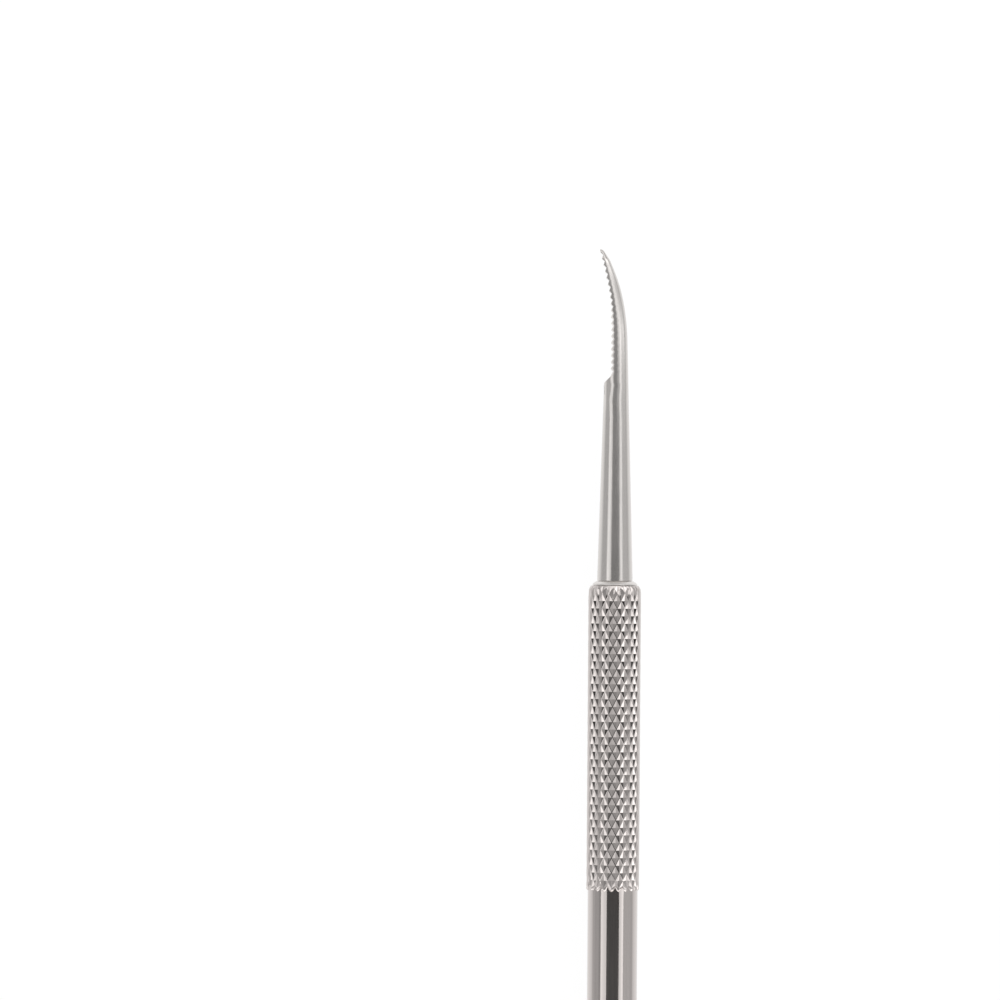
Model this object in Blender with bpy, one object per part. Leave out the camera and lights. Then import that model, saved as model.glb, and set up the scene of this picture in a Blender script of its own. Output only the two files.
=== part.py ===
# Ingrown toenail tool, a double-ended steel hand tool 152 mm long.
#
# A tube handle with two knurled grips carries a curved file at one end and a
# curved lifter at the other. Each tip is one turned and ground piece. Its tang
# is pressed into a collar, and the collar is pressed into the tube's mouth.
#
# The tool lies along X, with the file at -X and its teeth facing -Y. +Z is up.
# It lies on z = 0 on the ridges of its knurling, with its middle over x = y = 0.

import math

import bmesh
import bpy
from mathutils import Vector

MM = 0.001

# Handle tube
PLAIN_DIAMETER = 5.0 * MM
PLAIN_LENGTH = 23.8 * MM
BORE_DIAMETER = 3.4 * MM
GRIP_LENGTH = 30.5 * MM
GRIP_DIAMETER = 5.3 * MM
MOUTH_DIAMETER = 4.64 * MM
MOUTH_ROUNDING = 0.9 * MM

# Diamond knurling: sunk diamonds between raised ridges that cross at each row.
# Every second row is turned by half a diamond. An odd number of diamonds gives
# an evenly standing tool.
KNURL_DIAMOND_COUNT = 21
KNURL_ROW_SPACING = 0.7525 * MM
KNURL_DEPTH = 0.2 * MM
KNURL_RUN_OUT = 0.32 * MM

# Collars, one in each mouth of the tube
COLLAR_RIM_DIAMETER = 4.5 * MM
COLLAR_RIM_LENGTH = 0.06 * MM
COLLAR_FLANGE_LENGTH = 0.45 * MM
COLLAR_SPIGOT_LENGTH = 6.0 * MM
COLLAR_LEAD_CHAMFER = 0.25 * MM
COLLAR_STEPS = 32

# Clearance between a turned piece and the bore or face that it seats in
SEAT_CLEARANCE = 0.03 * MM

# Shank and tang, alike on both tips
SHANK_LENGTH = 19.7 * MM
SHANK_ROOT_DIAMETER = 3.56 * MM
SHANK_END_DIAMETER = 2.45 * MM
TANG_DIAMETER = 2.4 * MM
TANG_LENGTH = 7.0 * MM
TANG_CHAMFER = 0.25 * MM
TIP_SIDES = 24

# File blade: a round taper bent to an arc, with a toothed flat cut in its
# inner side
FILE_BLADE_LENGTH = 13.45 * MM
FILE_BEND_RADIUS = 26.0 * MM
FILE_BEND_LENGTH = 9.1 * MM
FILE_RAMP_LENGTH = 0.75 * MM
TOOTH_PITCH = 0.647 * MM
TOOTH_HEIGHT = 0.22 * MM
FIRST_TOOTH = 0.3 * MM
TOOTH_STEEP_SHARE = 0.4
# How far along the blade from its tip, then the radius there as a share of
# the shank's end, and the toothed flat's height as a share of that radius
FILE_FORM_SHARES = (
    (0.000, 0.10, 0.43),
    (0.010, 0.20, 0.43),
    (0.040, 0.31, 0.42),
    (0.080, 0.45, 0.40),
    (0.130, 0.52, 0.38),
    (0.200, 0.62, 0.40),
    (0.280, 0.71, 0.36),
    (0.380, 0.78, 0.36),
    (0.500, 0.835, 0.46),
    (0.680, 0.90, 0.49),
    (0.850, 0.957, 0.47),
    (1.000, 1.00, 0.46),
)

# Lifter blade: the shank flattens to a thin curved spatula with a round end
LIFTER_BLADE_LENGTH = 13.45 * MM
LIFTER_BEND_RADIUS = 26.0 * MM
LIFTER_BEND_LENGTH = 9.1 * MM
# How far along the blade from its tip, then half the width and half the
# thickness there as shares of the shank's end radius
LIFTER_FORM_SHARES = (
    (0.000, 0.20, 0.07),
    (0.012, 0.42, 0.10),
    (0.035, 0.60, 0.13),
    (0.080, 0.76, 0.16),
    (0.150, 0.84, 0.19),
    (0.260, 0.86, 0.22),
    (0.400, 0.84, 0.27),
    (0.550, 0.83, 0.36),
    (0.700, 0.85, 0.52),
    (0.820, 0.90, 0.72),
    (0.920, 0.96, 0.90),
    (1.000, 1.00, 1.00),
)

# Faces that meet at more than this angle show a crisp edge
SHARP_ANGLE = math.radians(25)

HANDLE_SIDES = 2 * KNURL_DIAMOND_COUNT
SIDE_ANGLE = 2 * math.pi / HANDLE_SIDES
GRIP_RADIUS = GRIP_DIAMETER / 2
PIT_RADIUS = GRIP_RADIUS - KNURL_DEPTH
HANDLE_HALF_LENGTH = PLAIN_LENGTH / 2 + GRIP_LENGTH
SEAT_PLANE = HANDLE_HALF_LENGTH + COLLAR_FLANGE_LENGTH
TANG_RADIUS = TANG_DIAMETER / 2
SHANK_END_RADIUS = SHANK_END_DIAMETER / 2

# Two lines of ridge crossings lie beside the lowest line, so the tool stands
# on a narrow flat
AXIS_HEIGHT = GRIP_RADIUS * math.cos(SIDE_ANGLE / 2)


def clear_scene():
    for old in list(bpy.data.objects):
        bpy.data.objects.remove(old, do_unlink=True)


def steel(name, color, roughness):
    material = bpy.data.materials.new(name)
    material.use_nodes = True
    shader = material.node_tree.nodes["Principled BSDF"]
    shader.inputs["Base Color"].default_value = (*color, 1)
    shader.inputs["Roughness"].default_value = roughness
    shader.inputs["Metallic"].default_value = 1
    return material


def add_object(name, bm, parent, material=None):
    bmesh.ops.recalc_face_normals(bm, faces=bm.faces)
    mesh = bpy.data.meshes.new(name)
    bm.to_mesh(mesh)
    bm.free()
    if material:
        mesh.materials.append(material)
        mesh.shade_smooth()
        mesh.set_sharp_from_angle(angle=SHARP_ANGLE)
    made = bpy.data.objects.new(name, mesh)
    bpy.context.collection.objects.link(made)
    made.parent = parent
    return made


def join_rings(bm, first, second):
    count = len(first)
    for i in range(count):
        after = (i + 1) % count
        bm.faces.new((first[i], first[after], second[after], second[i]))


def loft(rings):
    # Skins a row of rings and closes both ends
    bm = bmesh.new()
    loops = [[bm.verts.new(point) for point in ring] for ring in rings]
    for first, second in zip(loops, loops[1:]):
        join_rings(bm, first, second)
    bm.faces.new(loops[0])
    bm.faces.new(loops[-1])
    return bm


def section(x, half_width, half_thickness, offset=0.0):
    # One oval ring across the axis, wide along Z and thick along Y
    ring = []
    for i in range(TIP_SIDES):
        angle = 2 * math.pi * (i + 0.5) / TIP_SIDES
        y = offset + half_thickness * math.sin(angle)
        ring.append(Vector((x, y, half_width * math.cos(angle))))
    return ring


def read_shares(table, share, column=1):
    # Straight-line reading between the rows of a table of shares
    for low, high in zip(table, table[1:]):
        if share <= high[0]:
            part = (share - low[0]) / (high[0] - low[0])
            return low[column] + part * (high[column] - low[column])
    return table[-1][column]


def bend_offset(from_tip, bend_length, bend_radius):
    # How far a bent blade's middle line stands off the tool's axis
    bent = max(0.0, bend_length - from_tip)
    return bend_radius - math.sqrt(bend_radius ** 2 - bent ** 2)


def knurl_rows():
    # Distance from the mouth and the radii of the even and odd corners. The
    # rows are counted back from the run-out, and the first one lies at least
    # a third of the way along the mouth's rounding.
    room = GRIP_LENGTH - KNURL_RUN_OUT
    gaps = int((room - MOUTH_ROUNDING / 3) / KNURL_ROW_SPACING)
    lead = room - gaps * KNURL_ROW_SPACING
    edge = mouth_limit(lead / 4)
    plain = PLAIN_DIAMETER / 2
    rows = [
        (0.0, MOUTH_DIAMETER / 2, MOUTH_DIAMETER / 2),
        (lead / 4, edge, edge),
    ]
    for row in range(gaps + 1):
        along = lead + row * KNURL_ROW_SPACING
        ridge = min(GRIP_RADIUS, mouth_limit(along))
        pit = min(PIT_RADIUS, mouth_limit(along))
        if row == gaps:
            pit = plain
        rows.append((along, ridge, pit) if row % 2 else (along, pit, ridge))
    rows.append((GRIP_LENGTH, plain, plain))
    return rows


def mouth_limit(along):
    # The rounded edge at the tube's mouth cuts the first rows down
    if along >= MOUTH_ROUNDING:
        return GRIP_RADIUS
    rise = math.sqrt(1 - (1 - along / MOUTH_ROUNDING) ** 2)
    return MOUTH_DIAMETER / 2 + (GRIP_RADIUS - MOUTH_DIAMETER / 2) * rise


def handle_ring(x, even_radius, odd_radius):
    ring = []
    for i in range(HANDLE_SIDES):
        angle = SIDE_ANGLE * (i + 0.5) - math.pi / 2
        radius = odd_radius if i % 2 else even_radius
        ring.append(Vector((x, radius * math.cos(angle), radius * math.sin(angle))))
    return ring


def split_along_ridges(bm):
    # Each four-sided face is folded along the ridge that crosses it
    for face in list(bm.faces):
        corners = list(face.verts)
        reach = [math.hypot(corner.co.y, corner.co.z) for corner in corners]
        if reach[0] + reach[2] > reach[1] + reach[3]:
            bmesh.utils.face_split(face, corners[0], corners[2])
        else:
            bmesh.utils.face_split(face, corners[1], corners[3])


def make_handle(parent):
    rows = knurl_rows()
    rings = []
    for along, even, odd in rows:
        rings.append(handle_ring(along - HANDLE_HALF_LENGTH, even, odd))
    for along, even, odd in reversed(rows):
        rings.append(handle_ring(HANDLE_HALF_LENGTH - along, even, odd))

    bm = bmesh.new()
    loops = [[bm.verts.new(point) for point in ring] for ring in rings]
    for first, second in zip(loops, loops[1:]):
        join_rings(bm, first, second)
    split_along_ridges(bm)

    bore = []
    for x in (-HANDLE_HALF_LENGTH, HANDLE_HALF_LENGTH):
        ring = handle_ring(x, BORE_DIAMETER / 2, BORE_DIAMETER / 2)
        bore.append([bm.verts.new(point) for point in ring])
    join_rings(bm, loops[0], bore[0])
    join_rings(bm, bore[0], bore[1])
    join_rings(bm, bore[1], loops[-1])
    return add_object("handle_tube", bm, parent, steel("satin_steel", (0.56, 0.55, 0.54), 0.32))


def collar_outline():
    # Half section of a collar, x measured outwards from the tube's mouth
    bore_radius = TANG_RADIUS + SEAT_CLEARANCE
    spigot_radius = BORE_DIAMETER / 2 - SEAT_CLEARANCE
    rim_radius = COLLAR_RIM_DIAMETER / 2
    nose_radius = SHANK_ROOT_DIAMETER / 2
    nose = COLLAR_FLANGE_LENGTH - SEAT_CLEARANCE
    return (
        (-COLLAR_SPIGOT_LENGTH, bore_radius),
        (-COLLAR_SPIGOT_LENGTH, spigot_radius - COLLAR_LEAD_CHAMFER),
        (COLLAR_LEAD_CHAMFER - COLLAR_SPIGOT_LENGTH, spigot_radius),
        (SEAT_CLEARANCE, spigot_radius),
        (SEAT_CLEARANCE, rim_radius),
        (SEAT_CLEARANCE + COLLAR_RIM_LENGTH, rim_radius),
        (nose, nose_radius),
        (nose, bore_radius),
    )


def make_collars(parent):
    bm = bmesh.new()
    corners = [bm.verts.new((x, radius, 0)) for x, radius in collar_outline()]
    edges = [bm.edges.new(pair) for pair in zip(corners, corners[1:] + corners[:1])]
    bmesh.ops.spin(
        bm,
        geom=corners + edges,
        cent=(0, 0, 0),
        axis=(1, 0, 0),
        angle=2 * math.pi,
        steps=COLLAR_STEPS,
        use_merge=True,
    )
    turned = steel("turned_steel", (0.60, 0.59, 0.58), 0.25)
    file_end = add_object("file_end_collar", bm, parent, turned)
    file_end.location.x = -HANDLE_HALF_LENGTH
    file_end.rotation_euler.z = math.pi

    lifter_end = bpy.data.objects.new("lifter_end_collar", file_end.data)
    bpy.context.collection.objects.link(lifter_end)
    lifter_end.parent = parent
    lifter_end.location.x = HANDLE_HALF_LENGTH


def tang_and_shank():
    # Rings from the tang's inner end to the shank's end, x outwards from the
    # seat on the collar
    tip_radius = TANG_RADIUS - TANG_CHAMFER
    root_radius = SHANK_ROOT_DIAMETER / 2
    return [
        section(-TANG_LENGTH, tip_radius, tip_radius),
        section(TANG_CHAMFER - TANG_LENGTH, TANG_RADIUS, TANG_RADIUS),
        section(0.0, TANG_RADIUS, TANG_RADIUS),
        section(0.0, root_radius, root_radius),
    ]


def tooth_outline():
    # Edge of the toothed flat from the tip to the top of the ramp, as x and y
    tip = SHANK_LENGTH + FILE_BLADE_LENGTH

    def flat(from_tip):
        share = from_tip / FILE_BLADE_LENGTH
        radius = SHANK_END_RADIUS * read_shares(FILE_FORM_SHARES, share)
        offset = bend_offset(from_tip, FILE_BEND_LENGTH, FILE_BEND_RADIUS)
        return offset + radius * read_shares(FILE_FORM_SHARES, share, 2)

    steep = TOOTH_PITCH * TOOTH_STEEP_SHARE
    room = FILE_BLADE_LENGTH - FILE_RAMP_LENGTH - FIRST_TOOTH
    teeth = int(room / TOOTH_PITCH)
    outline = [(tip + TOOTH_PITCH - FIRST_TOOTH, flat(0.0))]
    for tooth in range(teeth):
        crest = FIRST_TOOTH + tooth * TOOTH_PITCH
        outline.append((tip - crest, flat(crest)))
        outline.append((tip - crest - steep, flat(crest + steep) - TOOTH_HEIGHT))
    foot = FILE_BLADE_LENGTH - FILE_RAMP_LENGTH
    outline.append((tip - foot, flat(foot)))
    overrun = SHANK_END_DIAMETER
    outline.append((tip - foot - overrun, flat(foot) + overrun))
    outline.append((tip + overrun, flat(foot) + overrun))
    return outline


def make_tooth_cutter(parent):
    bm = bmesh.new()
    corners = [bm.verts.new((x, y, -SHANK_END_DIAMETER)) for x, y in tooth_outline()]
    side = bm.faces.new(corners)
    grown = bmesh.ops.extrude_face_region(bm, geom=[side])
    lifted = [item for item in grown["geom"] if isinstance(item, bmesh.types.BMVert)]
    bmesh.ops.translate(bm, verts=lifted, vec=(0, 0, 2 * SHANK_END_DIAMETER))
    cutter = add_object("tooth_cutter", bm, parent)
    cutter.hide_render = True
    cutter.display_type = "WIRE"
    return cutter


def make_file_tip(parent):
    # The teeth face the seat's +Y, which the turned seat points to -Y
    seat = bpy.data.objects.new("file_seat", None)
    bpy.context.collection.objects.link(seat)
    seat.parent = parent
    seat.location.x = -SEAT_PLANE
    seat.rotation_euler.z = math.pi

    rings = tang_and_shank()
    for share, radius_share, _ in reversed(FILE_FORM_SHARES):
        from_tip = share * FILE_BLADE_LENGTH
        radius = radius_share * SHANK_END_RADIUS
        offset = bend_offset(from_tip, FILE_BEND_LENGTH, FILE_BEND_RADIUS)
        x = SHANK_LENGTH + FILE_BLADE_LENGTH - from_tip
        rings.append(section(x, radius, radius, offset))
    bm = loft(rings)
    tip = add_object("file_tip", bm, seat, steel("ground_steel", (0.58, 0.57, 0.56), 0.3))

    cut = tip.modifiers.new("teeth", "BOOLEAN")
    cut.operation = "DIFFERENCE"
    cut.object = make_tooth_cutter(seat)


def make_lifter_tip(parent):
    seat = bpy.data.objects.new("lifter_seat", None)
    bpy.context.collection.objects.link(seat)
    seat.parent = parent
    seat.location.x = SEAT_PLANE

    rings = tang_and_shank()
    for share, width_share, thickness_share in reversed(LIFTER_FORM_SHARES):
        from_tip = share * LIFTER_BLADE_LENGTH
        offset = bend_offset(from_tip, LIFTER_BEND_LENGTH, LIFTER_BEND_RADIUS)
        x = SHANK_LENGTH + LIFTER_BLADE_LENGTH - from_tip
        half_width = width_share * SHANK_END_RADIUS
        half_thickness = thickness_share * SHANK_END_RADIUS
        rings.append(section(x, half_width, half_thickness, offset))
    add_object("lifter_tip", loft(rings), seat, steel("polished_steel", (0.62, 0.61, 0.60), 0.2))


def main():
    clear_scene()
    axis = bpy.data.objects.new("tool_axis", None)
    bpy.context.collection.objects.link(axis)
    axis.location.z = AXIS_HEIGHT
    make_handle(axis)
    make_collars(axis)
    make_file_tip(axis)
    make_lifter_tip(axis)


main()
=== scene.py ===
import math

import bmesh
import bpy
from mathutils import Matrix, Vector


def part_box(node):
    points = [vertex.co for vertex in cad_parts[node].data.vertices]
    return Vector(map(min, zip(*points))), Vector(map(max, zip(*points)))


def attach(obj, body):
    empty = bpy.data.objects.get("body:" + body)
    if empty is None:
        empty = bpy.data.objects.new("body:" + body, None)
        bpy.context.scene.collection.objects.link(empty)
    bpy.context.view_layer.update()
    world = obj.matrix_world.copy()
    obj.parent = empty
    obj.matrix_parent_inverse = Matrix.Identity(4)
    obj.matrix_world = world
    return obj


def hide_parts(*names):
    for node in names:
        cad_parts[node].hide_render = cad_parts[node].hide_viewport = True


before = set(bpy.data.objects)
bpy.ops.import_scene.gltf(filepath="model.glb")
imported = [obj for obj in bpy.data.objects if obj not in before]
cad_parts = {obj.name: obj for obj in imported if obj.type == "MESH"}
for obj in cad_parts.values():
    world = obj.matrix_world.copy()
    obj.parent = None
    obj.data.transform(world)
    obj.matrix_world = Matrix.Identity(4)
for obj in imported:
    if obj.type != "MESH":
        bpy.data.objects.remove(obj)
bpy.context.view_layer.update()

# Double-ended nail tool: a knurled tube handle, two pressed collars, a curved
# file and a curved lifter. It lies along X, the file at -X with its teeth to -Y.

mm = 0.001
mergeDistance = 0.0005 * mm
sharpAngle = 22  # faces that meet at more than this, in degrees, show an edge


def addNode(tree, kind, links=None, inputs=None, **settings):
    node = tree.nodes.new(kind)
    for name, value in settings.items():
        setattr(node, name, value)
    for name, value in (inputs or {}).items():
        node.inputs[name].default_value = value
    for name, output in (links or {}).items():
        tree.links.new(output, node.inputs[name])
    return node


def hexToLinear(code):
    parts = [int(code[i:i + 2], 16) / 255 for i in (1, 3, 5)]
    return [part / 12.92 if part <= 0.04045 else ((part + 0.055) / 1.055) ** 2.4 for part in parts]


def color(code):
    return (*hexToLinear(code), 1)


def growRings(sides, places):
    # A skin of rings, each grown from the one before. Every place turns an
    # angle round the tool into a point. Returns the mesh and both end rims.
    bm = bmesh.new()
    turn = bm.verts.layers.float.new("turn")
    for corner in bmesh.ops.create_circle(bm, segments=sides, radius=1)["verts"]:
        corner[turn] = math.atan2(corner.co.x, corner.co.y)
        corner.co = places[0](corner[turn])
    firstRim = rim = list(bm.edges)
    for place in places[1:]:
        grown = bmesh.ops.extrude_edge_only(bm, edges=rim)["geom"]
        fresh = {item for item in grown if isinstance(item, bmesh.types.BMVert)}
        for corner in fresh:
            corner.co = place(corner[turn])
        rim = [item for item in grown if isinstance(item, bmesh.types.BMEdge) and fresh.issuperset(item.verts)]
    return bm, firstRim, rim


def finishPiece(name, bm, material, nodes, edgeAngle=sharpAngle):
    bmesh.ops.remove_doubles(bm, verts=bm.verts, dist=mergeDistance)
    bmesh.ops.recalc_face_normals(bm, faces=bm.faces)
    mesh = bpy.data.meshes.new(name)
    bm.to_mesh(mesh)
    bm.free()
    mesh.materials.append(material)
    mesh.shade_smooth()
    mesh.set_sharp_from_angle(angle=math.radians(edgeAngle))
    piece = bpy.data.objects.new(name, mesh)
    bpy.context.collection.objects.link(piece)
    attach(piece, "root")
    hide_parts(*nodes)
    print(name, len(mesh.vertices), "vertices")
    return piece


def readTable(table, along, column):
    # A smooth curve through the rows of a table. Their first column is along.
    last = len(table) - 1
    low = max([k for k in range(last) if table[k][0] <= along], default=0)

    def slope(k):
        before, after = table[max(k - 1, 0)], table[min(k + 1, last)]
        return (after[column] - before[column]) / (after[0] - before[0])

    span = table[low + 1][0] - table[low][0]
    t = (along - table[low][0]) / span
    start, end = table[low][column], table[low + 1][column]
    ease = t * t * (3 - 2 * t)
    bulge = slope(low) * t * (1 - t) ** 2 - slope(low + 1) * t * t * (1 - t)
    return start + (end - start) * ease + span * bulge


# Stainless steel in four finishes; tint is its colour, lighter on the collars and the file as painted light.
# rough is the range of roughness, streak the length and width of the finest marks in mm, and relief their depth in mm.
steels = {
    # drawn tube, knurled and polished: clear reflections with soft edges
    "polishedTube": {"tint": "#d8d1ce", "rough": (0.07, 0.12), "streak": (6.0, 0.12), "relief": 0.0006},
    # turned on a lathe: fine rings round the axis, with a tint lighter than the tube's steel as a painted highlight
    "turnedCollarPaintedHighlight": {"tint": "#ebe7e4", "rough": (0.32, 0.42), "streak": (0.05, 4.0), "relief": 0.0006},
    # ground and satin brushed along its length, with a tint lighter than the tube's steel as painted light that
    # brightens the shank
    "groundFilePaintedLight": {"tint": "#dedad7", "rough": (0.17, 0.25), "streak": (3.5, 0.11), "relief": 0.0010},
    # the same, with a finer polish
    "polishedLifter": {"tint": "#d7d1ce", "rough": (0.17, 0.27), "streak": (4.0, 0.11), "relief": 0.0008},
}
markNoise = {"Scale": 1, "Detail": 3, "Roughness": 0.55}  # one mark to each length and width of streak
markRange = (0.3, 0.7)  # most of the noise lies between these


def makeSteel(name):
    values = steels[name]
    material = bpy.data.materials.new(name)
    material.use_nodes = True
    tree = material.node_tree
    shader = tree.nodes["Principled BSDF"]
    shader.inputs["Metallic"].default_value = 1
    shader.inputs["Base Color"].default_value = color(values["tint"])

    place = addNode(tree, "ShaderNodeTexCoord").outputs["Object"]
    along, across = values["streak"]
    stretched = addNode(
        tree, "ShaderNodeMapping", {"Vector": place},
        {"Scale": (1 / (along * mm), 1 / (across * mm), 1 / (across * mm))},
    ).outputs[0]
    marks = addNode(tree, "ShaderNodeTexNoise", {"Vector": stretched}, markNoise).outputs["Fac"]
    faint, strong = markRange
    low, high = values["rough"]
    rough = addNode(
        tree, "ShaderNodeMapRange", {"Value": marks},
        {"From Min": faint, "From Max": strong, "To Min": low, "To Max": high},
    )
    tree.links.new(rough.outputs["Result"], shader.inputs["Roughness"])
    bump = addNode(tree, "ShaderNodeBump", {"Height": marks}, {"Strength": 1, "Distance": values["relief"] * mm})
    tree.links.new(bump.outputs["Normal"], shader.inputs["Normal"])
    return material


# Lengths here and in the other pieces' dictionaries are in mm
handle = {
    "plainDiameter": 5.0,
    "plainLength": 23.8,
    "plainRings": (-11.3, -8, -4, 0, 4, 8, 11.3),  # along the plain middle
    "boreDiameter": 3.4,
    "gripLength": 30.5,
    "crestDiameter": 5.268,
    "mouthDiameter": 4.64,
    "mouthChamfer": (0.02, 0.04),  # round the mouth's outer edge, along and across
    "mouthRounding": 0.9,
    "knurlStart": 0.3,  # least length from the mouth to the first crossings
    "knurlFade": 0.12,  # length over which the pits grow in from the mouth
    "diamondsRound": 21,
    "rowSpacing": 0.7525,
    "knurlDepth": 0.1,
    "knurlTurn": -4.2,  # degrees, how the picture shows the knurling turned
    "runOut": 0.37,  # from the last ridge crossings to the plain bar
    "endReach": 0.42,  # how far the plain bar reaches up between them
    "endBend": 0.6,  # share of that reach by which the last row bends up too
    "endSqueeze": 0.6,  # how much closer the rims' rings lie between the ridges
    "endRims": ((0.22, 0.145), (0.12, 0.11), (0.04, 0.05), (0.0, 0.0)),  # length before the bar, height over it
    "foldHeight": 0.004,  # a face bent by more than this is folded along its ridge
    "ridgeRound": 0.03,
    "edgeAngle": 13,  # degrees, so that every pit shows its four flat walls
}
handleHalf = (handle["plainLength"] / 2 + handle["gripLength"]) * mm
crestRadius = handle["crestDiameter"] / 2 * mm
# The grips meet the floor between two crossings, so the axis lies a little
# lower than the crests reach
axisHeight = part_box("handle_tube")[1].y * math.cos(math.pi / (2 * handle["diamondsRound"]))


def mouthLimit(along):
    # Radius left by the rounded edge of the tube's mouth
    mouth = handle["mouthDiameter"] / 2 * mm
    share = along / (handle["mouthRounding"] * mm)
    if share >= 1:
        return crestRadius
    return mouth + (crestRadius - mouth) * math.sqrt(1 - (1 - share) ** 2)


def pitDepth(row, turn):
    # 1 in the middle of a sunk diamond, 0 along the crossing ridges
    column = round(turn, 6) / math.pi * handle["diamondsRound"]
    rowPart, columnPart = row - math.floor(row), column - math.floor(column)
    if (math.floor(row) + math.floor(column)) % 2:
        rowPart = 1 - rowPart
    away = rowPart + columnPart
    return 1 - min(away, 2 - away)


def handlePoint(x, radius, turn):
    turn += math.radians(handle["knurlTurn"])
    return Vector((x, radius * math.sin(turn), axisHeight + radius * math.cos(turn)))


def roundRing(x, radius):
    return lambda turn: handlePoint(x, radius, turn)


def knurlRing(side, along, row, rows):
    depth = handle["knurlDepth"] * mm * max(0, min(1, along / (handle["knurlFade"] * mm)))

    def place(turn):
        radius = mouthLimit(along) - depth * pitDepth(row, turn)
        back = 0
        if row > rows - 1:
            # The last pits open out on to the plain bar
            radius = max(radius, handle["plainDiameter"] / 2 * mm)
        if row == rows:
            back = handle["endReach"] * handle["endBend"] * mm * pitDepth(row, turn)
        return handlePoint(side * (handleHalf - along + back), radius, turn)
    return place


def endRing(side, rows, before, rise):
    # Past the last crossings the ridges fall to the plain bar in round rims
    def place(turn):
        dip = pitDepth(rows, turn) ** 2
        radius = handle["plainDiameter"] / 2 + rise * (1 - dip)
        back = before + dip * (handle["endReach"] - handle["endSqueeze"] * before)
        return handlePoint(side * (handleHalf - (handle["gripLength"] - back) * mm), radius * mm, turn)
    return place


def gripRings(side):
    spacing = handle["rowSpacing"] * mm
    room = (handle["gripLength"] - handle["runOut"]) * mm
    rows = int((room - handle["knurlStart"] * mm) / spacing)
    lead = room - rows * spacing
    mouth = handle["mouthDiameter"] / 2
    chamferAlong, chamferAcross = handle["mouthChamfer"]
    rings = [
        roundRing(side * handleHalf, handle["boreDiameter"] / 2 * mm),
        roundRing(side * handleHalf, (mouth - chamferAcross) * mm),
        roundRing(side * (handleHalf - chamferAlong * mm), mouth * mm),
    ]
    # Rings half a row apart, and one more where the mouth's rounding is steepest
    for row in [-1, -0.75] + [step / 2 for step in range(-1, 2 * rows + 1)]:
        rings.append(knurlRing(side, lead + row * spacing, row, rows))
    for before, rise in handle["endRims"]:
        rings.append(endRing(side, rows, before, rise))
    return rings


def foldRidges(bm):
    # A bent four-sided face is folded along the ridge that crosses it. The
    # ridges between the mouth and the last row are given back for rounding.
    start = handle["mouthRounding"] * mm
    end = (handle["gripLength"] - handle["runOut"] - handle["rowSpacing"]) * mm
    ridges = []
    for face in list(bm.faces):
        corners = list(face.verts)
        reach = [math.hypot(corner.co.y, corner.co.z - axisHeight) for corner in corners]
        rise = reach[0] + reach[2] - reach[1] - reach[3]
        if abs(rise) > handle["foldHeight"] * mm:
            first = 0 if rise > 0 else 1
            fold = bmesh.utils.face_split(face, corners[first], corners[first + 2])[1].edge
            fromMouth = handleHalf - abs(face.calc_center_median().x)
            if start < fromMouth < end:
                ridges.append(fold)
    return ridges


def makeHandle():
    plain = handle["plainDiameter"] / 2 * mm
    middle = [roundRing(x * mm, plain) for x in handle["plainRings"]]
    places = gripRings(-1) + middle + gripRings(1)[::-1]
    bm, firstRim, lastRim = growRings(4 * handle["diamondsRound"], places)
    bmesh.ops.bevel(
        bm, geom=foldRidges(bm), offset=handle["ridgeRound"] * mm,
        segments=2, profile=0.5, affect="EDGES", material=-1,
    )
    # The two bore rims are joined, which makes the bore's wall
    bmesh.ops.bridge_loops(bm, edges=firstRim + lastRim)
    steel = makeSteel("polishedTube")
    piece = finishPiece("knurledHandle", bm, steel, ["handle_tube"], handle["edgeAngle"])
    piece.modifiers.new("flatPitWalls", "WEIGHTED_NORMAL").keep_sharp = True


makeHandle()


# Both collars are pressed into the tube and hold a tip's tang
collar = {
    "sides": 96,
    "rimDiameter": 4.5,
    "rimLength": 0.06,
    "flangeLength": 0.45,
    "spigotLength": 6.0,
    "spigotDiameter": 3.34,
    "boreDiameter": 2.46,
    "crownDiameter": 4.16,  # the face between rim and tip is slightly domed
    "crownPlace": 0.27,  # from the tube's mouth
    "noseDiameter": 3.56,
    "leadChamfer": 0.25,
    "clearance": 0.03,
    "edge": 0.015,
}


def makeCollar(name, node, side, material):
    gap, end = collar["clearance"], -collar["spigotLength"]
    spigot, bore = collar["spigotDiameter"] / 2, collar["boreDiameter"] / 2
    nose = collar["flangeLength"] - gap
    outline = [
        (end, bore), (end, spigot - collar["leadChamfer"]), (end + collar["leadChamfer"], spigot),
        (gap, spigot), (gap, collar["rimDiameter"] / 2), (gap + collar["rimLength"], collar["rimDiameter"] / 2),
        (collar["crownPlace"], collar["crownDiameter"] / 2), (nose, collar["noseDiameter"] / 2), (nose, bore),
    ]
    bm = bmesh.new()
    corners = [bm.verts.new((side * (handleHalf + x * mm), 0, axisHeight + r * mm)) for x, r in outline]
    edges = [bm.edges.new(pair) for pair in zip(corners, corners[1:] + corners[:1])]
    bmesh.ops.spin(
        bm, geom=corners + edges, cent=(0, 0, axisHeight), axis=(1, 0, 0),
        angle=2 * math.pi, steps=collar["sides"], use_merge=True,
    )
    bmesh.ops.recalc_face_normals(bm, faces=bm.faces)
    sharp = [e for e in bm.edges if e.calc_face_angle(0) > math.radians(sharpAngle)]
    bmesh.ops.bevel(
        bm, geom=sharp, offset=collar["edge"] * mm,
        segments=2, profile=0.5, affect="EDGES", material=-1,
    )
    finishPiece(name, bm, material, [node])


turnedSteelPaintedHighlight = makeSteel("turnedCollarPaintedHighlight")
makeCollar("fileCollar", "file_end_collar", -1, turnedSteelPaintedHighlight)
makeCollar("lifterCollar", "lifter_end_collar", 1, turnedSteelPaintedHighlight)


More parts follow.
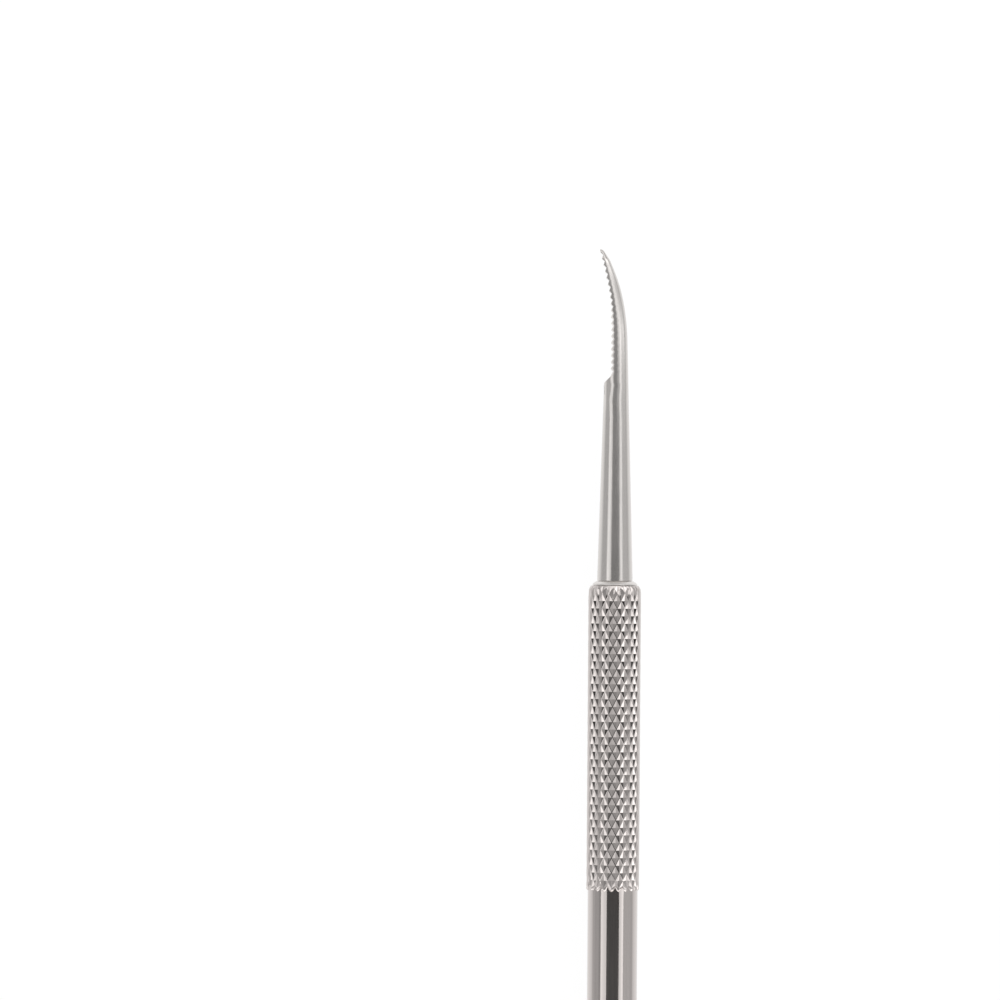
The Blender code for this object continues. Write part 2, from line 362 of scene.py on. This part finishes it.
# Tang, shank and bend, which both tips share
tip = {
    "sides": 56,
    "tangDiameter": 2.4,
    "tangLength": 7.0,
    "tangChamfer": 0.25,
    "shankLength": 19.7,
    "shankRings": 12,
    "shankEdge": 0.03,  # small chamfer where the shank meets its collar
    "rootDiameter": 3.56,
    "endDiameter": 2.45,
    "bladeLength": 13.45,
    "bendRadius": 26.0,
    "bendLength": 9.1,
}
seatPlane = handleHalf + collar["flangeLength"] * mm
endRadius = tip["endDiameter"] / 2


def tipPoint(side, along, lean, up):
    # Millimetres outwards from the seat, towards the working side, and up
    return Vector((side * (seatPlane + along * mm), side * lean * mm, axisHeight + up * mm))


def shankRing(side, along, radius):
    return lambda turn: tipPoint(side, along, radius * math.cos(turn), radius * math.sin(turn))


def bendOffset(fromTip):
    bent = max(0.0, tip["bendLength"] - fromTip)
    return tip["bendRadius"] - math.sqrt(tip["bendRadius"] ** 2 - bent ** 2)


def tangAndShank(side):
    tang, root, edge = tip["tangDiameter"] / 2, tip["rootDiameter"] / 2, tip["shankEdge"]
    rings = [
        shankRing(side, -tip["tangLength"], tang - tip["tangChamfer"]),
        shankRing(side, tip["tangChamfer"] - tip["tangLength"], tang),
        shankRing(side, 0, tang),
        shankRing(side, 0, root - edge),
        shankRing(side, edge, root),
    ]
    for step in range(1, tip["shankRings"]):
        share = step / tip["shankRings"]
        rings.append(shankRing(side, tip["shankLength"] * share, root + (endRadius - root) * share))
    return rings


# In form: share of the blade from its tip, radius as a share of the shank's
# end, and the toothed flat's height as a share of that radius
fileTip = {
    "rampLength": 0.75,
    "rampRings": (0.70, 0.66, 0.6, 0.5, 0.4, 0.3, 0.2, 0.1, 0.04),  # from its foot
    "footRise": 0.01,  # the ramp's foot over the crests of the teeth
    "toothPitch": 0.647,
    "toothHeight": 0.22,
    "firstTooth": 0.3,
    "steepShare": 0.4,
    "toothLand": 0.03,  # worn flat along each tooth's edge
    "flatSides": 8,  # how many of a ring's sides lie on the toothed flat
    "flankSides": 8,  # how many take up the teeth's height, beside the flat
    "flankReach": 1.1,  # how far down the flanks go, in heights of a tooth
    "flankTurns": (0.1, 1.2),  # least and most that a flank turns, in radians
    "noseRings": ((0.14, 1.0), (0.06, 0.95), (0.02, 0.85), (0.0, 0.6)),  # from the tip, share of the radius
    "form": (
        (0.000, 0.10, 0.43), (0.010, 0.20, 0.43), (0.040, 0.31, 0.42), (0.080, 0.45, 0.40),
        (0.130, 0.52, 0.38), (0.200, 0.62, 0.40), (0.280, 0.71, 0.36), (0.380, 0.78, 0.36),
        (0.500, 0.835, 0.46), (0.680, 0.90, 0.49), (0.850, 0.957, 0.47), (1.000, 1.00, 0.46),
    ),
}


def fileRadius(fromTip):
    return endRadius * readTable(fileTip["form"], fromTip / tip["bladeLength"], 1)


def flatHeight(fromTip):
    share = readTable(fileTip["form"], fromTip / tip["bladeLength"], 2)
    return bendOffset(fromTip) + share * fileRadius(fromTip)


def fileRing(fromTip, height, radiusShare=1.0):
    # A round section with its working side cut flat at the given height. The
    # flanks reach down past the teeth, so the back stays smooth.
    radius = fileRadius(fromTip) * radiusShare
    offset = bendOffset(fromTip)

    def cutAngle(level):
        return math.acos(max(-1.0, min(1.0, (level - offset) / radius)))

    cut = cutAngle(height)
    low = flatHeight(fromTip) - fileTip["flankReach"] * fileTip["toothHeight"]
    leastTurn, mostTurn = fileTip["flankTurns"]
    base = min(max(cutAngle(low), cut + leastTurn), cut + mostTurn)
    flatTurn = math.pi * fileTip["flatSides"] / tip["sides"]
    flankTurn = flatTurn + math.pi * fileTip["flankSides"] / tip["sides"]
    along = tip["shankLength"] + tip["bladeLength"] - fromTip
    hair = 0.0001  # keeps a corner that lies right on a limit inside it

    def place(turn):
        if abs(turn) <= flatTurn + hair:
            return tipPoint(-1, along, offset + radius * math.cos(cut), radius * math.sin(cut) * turn / flatTurn)
        if abs(turn) <= flankTurn + hair:
            angle = cut + (base - cut) * (abs(turn) - flatTurn) / (flankTurn - flatTurn)
        else:
            angle = base + (math.pi - base) * (abs(turn) - flankTurn) / (math.pi - flankTurn)
        angle = math.copysign(angle, turn)
        return tipPoint(-1, along, offset + radius * math.cos(angle), radius * math.sin(angle))
    return place


def fileRings():
    foot = tip["bladeLength"] - fileTip["rampLength"]
    steep = fileTip["toothPitch"] * fileTip["steepShare"]
    land = fileTip["toothLand"] / 2
    rings = []
    for rise in (fileTip["rampLength"], *fileTip["rampRings"]):
        rings.append(fileRing(foot + rise, flatHeight(foot) + rise))
    rings.append(fileRing(foot, flatHeight(foot) + fileTip["footRise"]))
    teeth = int((foot - fileTip["firstTooth"]) / fileTip["toothPitch"])
    for tooth in reversed(range(teeth)):
        crest = fileTip["firstTooth"] + tooth * fileTip["toothPitch"]
        valley = crest + steep
        rings.append(fileRing(valley, flatHeight(valley) - fileTip["toothHeight"]))
        rings.append(fileRing(crest + land, flatHeight(crest)))
        rings.append(fileRing(crest - land, flatHeight(crest)))
    noseFlat = fileTip["form"][0][2]
    for fromTip, share in fileTip["noseRings"]:
        rings.append(fileRing(fromTip, bendOffset(fromTip) + noseFlat * fileRadius(fromTip) * share, share))
    return rings


def makeFile():
    bm, firstRim, lastRim = growRings(tip["sides"], tangAndShank(-1) + fileRings())
    bmesh.ops.remove_doubles(bm, verts=bm.verts, dist=mergeDistance)
    bmesh.ops.holes_fill(bm, edges=bm.edges, sides=0)
    finishPiece("curvedFile", bm, makeSteel("groundFilePaintedLight"), ["file_tip"])


makeFile()


# In form: share of the blade from its tip, then half the width and half the
# thickness as shares of the shank's end radius
lifterTip = {
    "bladeRings": 40,  # spread along the blade, down to its last tenth
    "noseRings": (0.08, 0.06, 0.045, 0.03, 0.02, 0.012, 0.006, 0.002, 0),  # and these on from there
    "form": (
        (0.000, 0.20, 0.07), (0.012, 0.42, 0.10), (0.035, 0.60, 0.13), (0.080, 0.76, 0.16),
        (0.150, 0.84, 0.19), (0.260, 0.86, 0.22), (0.400, 0.84, 0.27), (0.550, 0.83, 0.36),
        (0.700, 0.85, 0.52), (0.820, 0.90, 0.72), (0.920, 0.96, 0.90), (1.000, 1.00, 1.00),
    ),
}


def lifterRing(fromTip):
    share = fromTip / tip["bladeLength"]
    halfWidth = endRadius * readTable(lifterTip["form"], share, 1)
    halfThickness = endRadius * readTable(lifterTip["form"], share, 2)
    offset = bendOffset(fromTip)
    along = tip["shankLength"] + tip["bladeLength"] - fromTip
    return lambda turn: tipPoint(1, along, offset + halfThickness * math.cos(turn), halfWidth * math.sin(turn))


def makeLifter():
    count = lifterTip["bladeRings"]
    shares = [1 - step / count for step in range(9 * count // 10 + 1)]
    rings = [lifterRing(share * tip["bladeLength"]) for share in (*shares, *lifterTip["noseRings"])]
    bm, firstRim, lastRim = growRings(tip["sides"], tangAndShank(1) + rings)
    bmesh.ops.holes_fill(bm, edges=firstRim + lastRim, sides=0)
    finishPiece("curvedLifter", bm, makeSteel("polishedLifter"), ["lifter_tip"])


makeLifter()


# The studio that the steel mirrors. Each room lists heights above the horizon,
# as the sine of the angle, with how bright the studio is there. The left and
# right rooms lie beside the tool, the two ends beyond its lifter, and the pale,
# the tip's and the far room beyond its file.
studio = {
    "floor": "#f4f4f4",
    "floorSize": 3.0,
    "seenShare": 0.9,  # how much of the floor's white is its own, for the camera
    "seenStrength": 1.05,
    "nearFloor": 0.97,  # how bright metal sees the floor, right beside the tool
    "farFloor": 0.5,
    "floorFade": (3, 22),  # mm beside the tool between which it dims from near to far
    "floorRoughness": 0.9,
    "leftRoom": ((0.0, 0.43), (0.36, 0.43), (0.46, 0.31), (0.60, 0.31), (0.80, 0.075)),
    "rightRoom": ((0.0, 0.52), (0.64, 0.52), (0.82, 0.075)),
    "leftEnd": ((0.2, 1.5), (0.45, 1.1), (0.66, 0.7), (0.9, 0.58)),
    "rightEnd": ((0.2, 1.7), (0.45, 1.6), (0.66, 1.1), (0.9, 0.58)),
    "paleRoom": ((0.6, 0.58), (0.8, 0.33)),
    "tipRoom": ((0.3, 0.02), (0.6, 0.10), (0.85, 0.42)),
    "farRoom": ((0.1, 0.45), (0.35, 0.6), (0.5, 1.2), (0.7, 1.0), (0.9, 0.3)),
    # Which room turns into which, along which axis and between which values of
    # the direction in which the steel looks, each over the ones before it
    "roomBlends": (
        ("leftRoom", "rightRoom", "Y", -0.1, 0.1), ("leftEnd", "rightEnd", "Y", -0.2, 0.2),
        ("leftRoom", "leftEnd", "X", 0.1, 0.2), ("leftRoom", "paleRoom", "X", -0.02, -0.06),
        ("leftRoom", "tipRoom", "X", -0.10, -0.20), ("leftRoom", "farRoom", "X", -0.4, -0.5),
    ),
    "lampSpan": (-0.15, 0.17),  # where the lamps start and end along the tool, in metres
    "cardSpan": (-0.16, -0.074),  # the same for two small cards beside the file
    # Degrees from overhead, then width and distance in metres, then strength
    "leftLamp": (-42.5, 0.40, 0.8, 0.80),
    "rightLamp": (39.5, 0.28, 0.8, 0.80),
    "leftCard": (-62, 0.10, 0.10, 0.2),
    "rightCard": (50, 0.165, 0.10, 0.65),
}


def makeFloor():
    bm = bmesh.new()
    bmesh.ops.create_grid(bm, x_segments=1, y_segments=1, size=studio["floorSize"] / 2)
    mesh = bpy.data.meshes.new("paleFloor")
    bm.to_mesh(mesh)
    bm.free()
    material = bpy.data.materials.new("paleCard")
    material.use_nodes = True
    tree = material.node_tree
    shader = tree.nodes["Principled BSDF"]
    shader.inputs["Base Color"].default_value = color(studio["floor"])
    shader.inputs["Roughness"].default_value = studio["floorRoughness"]
    shader.inputs["Specular IOR Level"].default_value = 0
    # The camera meets a white floor that still takes the tool's shadow, and
    # metal meets one that dims with the distance from the tool
    path = addNode(tree, "ShaderNodeLightPath")
    place = addNode(tree, "ShaderNodeTexCoord").outputs["Object"]
    beside = addNode(tree, "ShaderNodeMapping", {"Vector": place}, {"Scale": (0, 1, 0)}).outputs[0]
    distance = addNode(tree, "ShaderNodeVectorMath", {0: beside}, operation="LENGTH").outputs["Value"]
    start, end = studio["floorFade"]
    mirrored = addNode(
        tree, "ShaderNodeMapRange", {"Value": distance},
        {"From Min": start * mm, "From Max": end * mm, "To Min": studio["nearFloor"], "To Max": studio["farFloor"]},
    ).outputs["Result"]
    strength = addNode(
        tree, "ShaderNodeMix", {"Factor": path.outputs["Is Camera Ray"], "A": mirrored}, {"B": studio["seenStrength"]},
        data_type="FLOAT",
    ).outputs["Result"]
    glow = addNode(tree, "ShaderNodeEmission", {"Strength": strength}, {"Color": (1, 1, 1, 1)})
    seen = addNode(
        tree, "ShaderNodeMath", {0: path.outputs["Is Camera Ray"]}, {1: studio["seenShare"]},
        operation="MULTIPLY",
    )
    bounced = addNode(
        tree, "ShaderNodeMath", {0: path.outputs["Is Glossy Ray"], 1: path.outputs["Is Transmission Ray"]},
        operation="MAXIMUM",
    )
    share = addNode(tree, "ShaderNodeMath", {0: seen.outputs[0], 1: bounced.outputs[0]}, operation="MAXIMUM")
    mixed = addNode(tree, "ShaderNodeMixShader", {0: share.outputs[0], 1: shader.outputs[0], 2: glow.outputs[0]})
    tree.links.new(mixed.outputs[0], tree.nodes["Material Output"].inputs["Surface"])
    mesh.materials.append(material)
    floor = bpy.data.objects.new("paleFloor", mesh)
    bpy.context.collection.objects.link(floor)


def makeWorld():
    # White where the camera sees it. Reflections meet a studio that is dark
    # overhead and towards the file's tip, grey at the sides and bright at the
    # lifter's end.
    world = bpy.data.worlds.new("studio")
    scene.world = world
    world.use_nodes = True
    tree = world.node_tree
    background = tree.nodes["Background"]
    way = addNode(tree, "ShaderNodeTexCoord").outputs["Generated"]
    parts = addNode(tree, "ShaderNodeSeparateXYZ", {0: way})
    rooms = {}
    for room in ("leftRoom", "rightRoom", "leftEnd", "rightEnd", "paleRoom", "tipRoom", "farRoom"):
        ramp = addNode(tree, "ShaderNodeValToRGB", {0: parts.outputs["Z"]})
        for stop, (place, grey) in enumerate(studio[room]):
            marks = ramp.color_ramp.elements
            mark = marks[stop] if stop < 2 else marks.new(place)  # a new ramp has two
            mark.position = place
            mark.color = (grey, grey, grey, 1)
        rooms[room] = ramp.outputs[0]
    for first, second, direction, start, end in studio["roomBlends"]:
        share = addNode(
            tree, "ShaderNodeMapRange", {"Value": parts.outputs[direction]}, {"From Min": start, "From Max": end},
            interpolation_type="SMOOTHSTEP",
        ).outputs["Result"]
        rooms[first] = addNode(
            tree, "ShaderNodeMix", {"Factor": share, "A": rooms[first], "B": rooms[second]}, data_type="FLOAT",
        ).outputs["Result"]
    path = addNode(tree, "ShaderNodeLightPath")
    strength = addNode(
        tree, "ShaderNodeMix", {"Factor": path.outputs["Is Camera Ray"], "A": rooms["leftRoom"]}, {"B": 1.0},
        data_type="FLOAT",
    )
    tree.links.new(strength.outputs["Result"], background.inputs["Strength"])
    background.inputs["Color"].default_value = (1, 1, 1, 1)


def makeLamp(name, span, leanDegrees, width, distance, strength):
    # A softbox or card beside the tool, turned round its axis from overhead
    lamp = bpy.data.lights.new(name, "AREA")
    lamp.shape = "RECTANGLE"
    lamp.size = span[1] - span[0]
    lamp.size_y = width
    lamp.energy = strength * math.pi * lamp.size * lamp.size_y
    lean = math.radians(leanDegrees)
    holder = bpy.data.objects.new(name, lamp)
    holder.location = (sum(span) / 2, distance * math.sin(lean), axisHeight + distance * math.cos(lean))
    holder.rotation_euler = (-lean, 0, 0)
    holder.visible_camera = False
    bpy.context.collection.objects.link(holder)


# The camera looks straight down, as the picture shows the tool against a plain
# ground. Lens and sensor are in mm. Its place, and its height over the tool's
# axis, are in metres.
view = {
    "lens": 200,
    "sensorWidth": 36,
    "clipStart": 0.01,
    "place": (-0.05085, -0.01154),
    "height": 0.5556,
    "turnDegrees": 90.405,
}


def makeCamera():
    camera = bpy.data.cameras.new("camera")
    camera.lens = view["lens"]
    camera.sensor_width = view["sensorWidth"]
    camera.clip_start = view["clipStart"]
    holder = bpy.data.objects.new("camera", camera)
    holder.location = (*view["place"], axisHeight + view["height"])
    holder.rotation_euler = (0, 0, math.radians(view["turnDegrees"]))
    bpy.context.collection.objects.link(holder)
    scene.camera = holder


scene = bpy.context.scene
scene.view_settings.view_transform = "Standard"
makeFloor()
makeWorld()
for name in ("leftLamp", "rightLamp"):
    makeLamp(name, studio["lampSpan"], *studio[name])
for name in ("leftCard", "rightCard"):
    makeLamp(name, studio["cardSpan"], *studio[name])
makeCamera()
print("studio ready")
